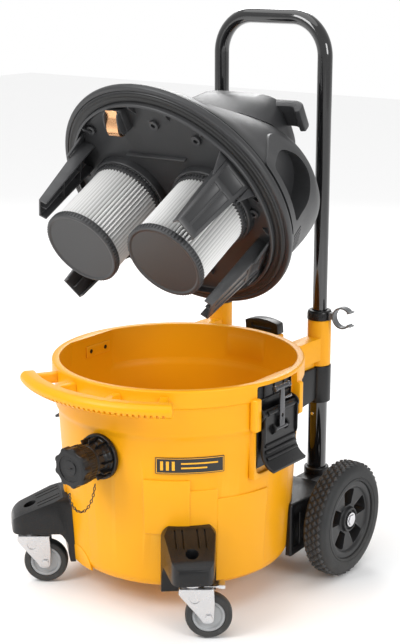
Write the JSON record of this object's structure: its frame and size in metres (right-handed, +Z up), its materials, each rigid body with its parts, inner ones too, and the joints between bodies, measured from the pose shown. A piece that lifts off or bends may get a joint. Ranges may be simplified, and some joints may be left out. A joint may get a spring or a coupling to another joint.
{
  "type": "shop vacuum",
  "caption": "Wheeled wet and dry vacuum with an open yellow tank, its motor head lifted off and tilted back to show pleated cartridge filters, and a tall sliding push handle.",
  "frame": {"origin": "on the floor under the centre of the round tank", "axes": "+Z up, -Y towards the front with the hose inlet, +X to the machine's side that carries the wand clip"},
  "size_m": [0.508, 0.5749, 0.952],
  "materials": {
    "yellow_plastic": "moulded, satin",
    "black_plastic": "moulded, fine grain",
    "charcoal_plastic": "moulded, fine grain",
    "black_tube": "gloss black paint",
    "wheel_tyre": "moulded rubber",
    "seal_rubber": "soft rubber",
    "zinc_steel": "zinc plated",
    "chrome": "polished",
    "chain_steel": "blackened",
    "grey_plastic": "moulded",
    "filter_paper": "pleated filter medium",
    "copper": "bare copper alloy",
    "label_film": "printed film"
  },
  "bodies": {
    "tank": {"tank_shell": "yellow_plastic", "front_grab_handle": "yellow_plastic", "tank_label": "label_film", "rear_block": "black_plastic", "latch_plate_L": "yellow_plastic", "latch_plate_R": "yellow_plastic", "inlet_flange": "black_plastic", "cap_chain": "chain_steel", "latch_base_L": "black_plastic", "latch_base_R": "black_plastic", "front_leg_L": "black_plastic", "front_leg_R": "black_plastic", "caster_stem_L": "zinc_steel", "caster_stem_R": "zinc_steel", "rear_axle_L": "chrome", "rear_axle_R": "chrome", "rear_carriage": "black_plastic", "post_tube_L": "black_tube", "post_tube_R": "black_tube", "post_collar_L": "black_plastic", "post_collar_R": "black_plastic", "post_bracket_L": "black_plastic", "post_bracket_R": "black_plastic", "wand_clip": "grey_plastic"},
    "cap_swivel": {"cap_eye": "black_plastic"},
    "inlet_cap": {"inlet_cap": "black_plastic"},
    "handle": {"push_handle": "black_tube"},
    "head_lifter": {"motor_cross_bolt": "zinc_steel"},
    "head": {"head_base": "charcoal_plastic", "head_seal": "seal_rubber", "head_housing": "charcoal_plastic", "head_deck": "charcoal_plastic", "head_leg_FL": "charcoal_plastic", "head_leg_FR": "charcoal_plastic", "head_leg_RL": "charcoal_plastic", "head_leg_RR": "charcoal_plastic", "ground_strip": "copper", "motor": "zinc_steel", "motor_plate": "black_plastic"},
    "impeller": {"impeller": "grey_plastic"},
    "power_knob": {"power_knob": "black_plastic"},
    "latch_lever_R": {"latch_lever_R": "black_plastic"},
    "latch_hook_R": {"latch_hook_R": "chrome"},
    "wheel_R": {"wheel_hub_R": "black_plastic", "wheel_tyre_R": "wheel_tyre"},
    "caster_R": {"caster_fork_R": "zinc_steel"},
    "caster_wheel_R": {"caster_hub_R": "grey_plastic", "caster_tyre_R": "wheel_tyre"},
    "filter_R": {"filter_pleats_R": "filter_paper", "filter_cap_R": "black_plastic"},
    "latch_lever_L": {"latch_lever_L": "black_plastic"},
    "latch_hook_L": {"latch_hook_L": "chrome"},
    "wheel_L": {"wheel_hub_L": "black_plastic", "wheel_tyre_L": "wheel_tyre"},
    "caster_L": {"caster_fork_L": "zinc_steel"},
    "caster_wheel_L": {"caster_hub_L": "grey_plastic", "caster_tyre_L": "wheel_tyre"},
    "filter_L": {"filter_pleats_L": "filter_paper", "filter_cap_L": "black_plastic"},
    "caster_brake": {"caster_brake": "zinc_steel"}
  },
  "joints": [
    {"name": "cap_travel", "type": "slide", "parent": "tank", "child": "cap_swivel", "axis": [0, -1, 0], "range_m": [0, 0.008]},
    {"name": "cap_turn", "type": "hinge", "parent": "cap_swivel", "child": "inlet_cap", "pos_m": [0, -0.262, 0.268], "axis": [0, -1, 0], "range_deg": [0, 720]},
    {"name": "handle_slide", "type": "slide", "parent": "tank", "child": "handle", "axis": [0, 0, 1], "range_m": [-0.24, 0]},
    {"name": "head_lift", "type": "slide", "parent": "tank", "child": "head_lifter", "axis": [0, 0.0946, 0.9955], "range_m": [-0.28646, 0]},
    {"name": "head_tilt", "type": "hinge", "parent": "head_lifter", "child": "head", "pos_m": [0, -0.0129, 0.70068], "axis": [1, 0, 0], "range_deg": [0, 61.01]},
    {"name": "impeller_spin", "type": "hinge", "parent": "head", "child": "impeller", "pos_m": [0, 0.02398, 0.67539], "axis": [0, 0.8746, 0.4848], "continuous": true},
    {"name": "power_knob_turn", "type": "hinge", "parent": "head", "child": "power_knob", "pos_m": [0, 0.20298, 0.76089], "axis": [0, 0.8746, 0.4848], "range_deg": [0, 90]},
    {"name": "latch_lever_R_swing", "type": "hinge", "parent": "tank", "child": "latch_lever_R", "pos_m": [0.2135, -0.0095, 0.338], "axis": [0, -1, 0], "range_deg": [0, 110]},
    {"name": "latch_hook_R_swing", "type": "hinge", "parent": "latch_lever_R", "child": "latch_hook_R", "pos_m": [0.219, -0.012, 0.31], "axis": [0, 1, 0], "range_deg": [0, 110.01]},
    {"name": "wheel_R_roll", "type": "hinge", "parent": "tank", "child": "wheel_R", "pos_m": [0.232, 0.161, 0.1], "axis": [1, 0, 0], "continuous": true},
    {"name": "caster_R_swivel", "type": "hinge", "parent": "tank", "child": "caster_R", "pos_m": [0.174, -0.1905, 0.09], "axis": [0, 0, 1], "continuous": true},
    {"name": "caster_R_roll", "type": "hinge", "parent": "caster_R", "child": "caster_wheel_R", "pos_m": [0.19476, -0.17485, 0.0375], "axis": [-0.6018, 0.7986, 0], "continuous": true},
    {"name": "filter_R_twist", "type": "hinge", "parent": "head", "child": "filter_R", "pos_m": [0.0846, -0.07416, 0.62556], "axis": [0, 0.8746, 0.4848], "range_deg": [0, 40]},
    {"name": "latch_lever_L_swing", "type": "hinge", "parent": "tank", "child": "latch_lever_L", "pos_m": [-0.2135, -0.0095, 0.338], "axis": [0, 1, 0], "range_deg": [0, 110]},
    {"name": "latch_hook_L_swing", "type": "hinge", "parent": "latch_lever_L", "child": "latch_hook_L", "pos_m": [-0.219, -0.012, 0.31], "axis": [0, -1, 0], "range_deg": [0, 110.01]},
    {"name": "wheel_L_roll", "type": "hinge", "parent": "tank", "child": "wheel_L", "pos_m": [-0.232, 0.161, 0.1], "axis": [1, 0, 0], "continuous": true},
    {"name": "caster_L_swivel", "type": "hinge", "parent": "tank", "child": "caster_L", "pos_m": [-0.174, -0.1905, 0.09], "axis": [0, 0, 1], "continuous": true},
    {"name": "caster_L_roll", "type": "hinge", "parent": "caster_L", "child": "caster_wheel_L", "pos_m": [-0.15324, -0.17485, 0.0375], "axis": [-0.6018, 0.7986, 0], "continuous": true},
    {"name": "filter_L_twist", "type": "hinge", "parent": "head", "child": "filter_L", "pos_m": [-0.0846, -0.07416, 0.62556], "axis": [0, 0.8746, 0.4848], "range_deg": [0, 40]},
    {"name": "caster_brake_press", "type": "hinge", "parent": "caster_R", "child": "caster_brake", "pos_m": [0.20355, -0.16823, 0.0885], "axis": [-0.6018, 0.7986, 0], "range_deg": [0, 10]}
  ],
  "couplings": [
    {"joint": "cap_travel", "follows": "cap_turn", "m_per_rad": 0.00063662},
    {"joint": "head_tilt", "follows": "head_lift", "rad_per_m": -3.7165},
    {"joint": "latch_hook_R_swing", "follows": "latch_lever_R_swing", "ratio": 1},
    {"joint": "latch_hook_L_swing", "follows": "latch_lever_L_swing", "ratio": 1}
  ]
}
